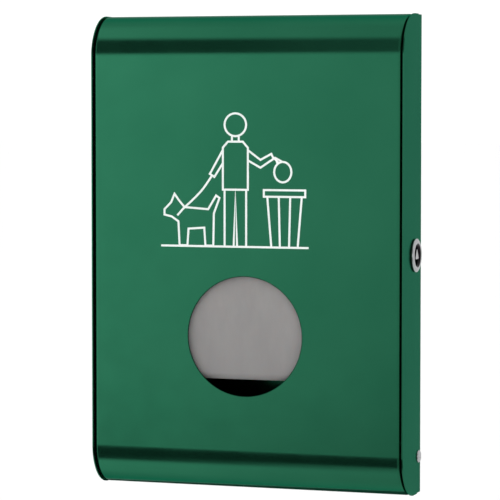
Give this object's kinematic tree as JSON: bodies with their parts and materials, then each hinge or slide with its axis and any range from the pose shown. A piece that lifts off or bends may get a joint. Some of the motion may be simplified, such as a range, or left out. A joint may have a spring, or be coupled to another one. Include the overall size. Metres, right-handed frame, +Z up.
{
  "type": "dog waste bag dispenser",
  "caption": "Wall cabinet of folded green sheet steel that hands out dog waste bags through a round front opening; the front tilts open about low side screws and shuts with a quarter-turn lock.",
  "frame": {"origin": "middle of the back pan's rear face, halfway up, on the wall plane", "axes": "+Z up, +X to the right seen from the front, the front faces -Y and +Y points into the wall"},
  "size_m": [0.2785, 0.056, 0.4],
  "materials": {
    "green_paint": "satin powder coat",
    "white_print": "white film print",
    "polished_chrome": "polished",
    "zinc_steel": "zinc plated",
    "black_rubber": "matte",
    "nylon": "natural",
    "header_board": "plain brown board",
    "bag_film": "grey polythene film"
  },
  "bodies": {
    "casing": {"back_pan": "green_paint", "side_plate_left": "green_paint", "side_plate_right": "green_paint", "lock_housing": "polished_chrome", "pivot_screw_right": "zinc_steel", "pivot_washer_right": "zinc_steel", "pivot_nut_right": "zinc_steel", "pivot_screw_left": "zinc_steel", "pivot_washer_left": "zinc_steel", "pivot_nut_left": "zinc_steel", "lock_nut": "zinc_steel", "hanger_rail": "zinc_steel", "hanger_hook_right": "zinc_steel", "hanger_hook_left": "zinc_steel", "rail_stud_right": "zinc_steel", "rail_stud_left": "zinc_steel", "rail_nut_right": "zinc_steel", "rail_nut_left": "zinc_steel", "lock_gasket": "black_rubber", "pivot_bush_right": "nylon", "pivot_bush_left": "nylon", "header_card": "header_board", "bag_stack": "bag_film"},
    "door": {"front_door": "green_paint", "pictogram_print": "white_print", "lock_strike": "zinc_steel", "strike_rivet_front": "zinc_steel", "strike_rivet_rear": "zinc_steel"},
    "lock": {"lock_spindle": "polished_chrome", "lock_cam": "zinc_steel", "lock_cam_washer": "zinc_steel", "lock_cam_screw": "zinc_steel"}
  },
  "joints": [
    {"name": "door_tilt", "type": "hinge", "parent": "casing", "child": "door", "pos_m": [0, -0.007, -0.169], "axis": [1, 0, 0], "range_deg": [0, 32]},
    {"name": "lock_turn", "type": "hinge", "parent": "casing", "child": "lock", "pos_m": [0.137, -0.01925, 0], "axis": [-1, 0, 0], "range_deg": [0, 90]}
  ]
}
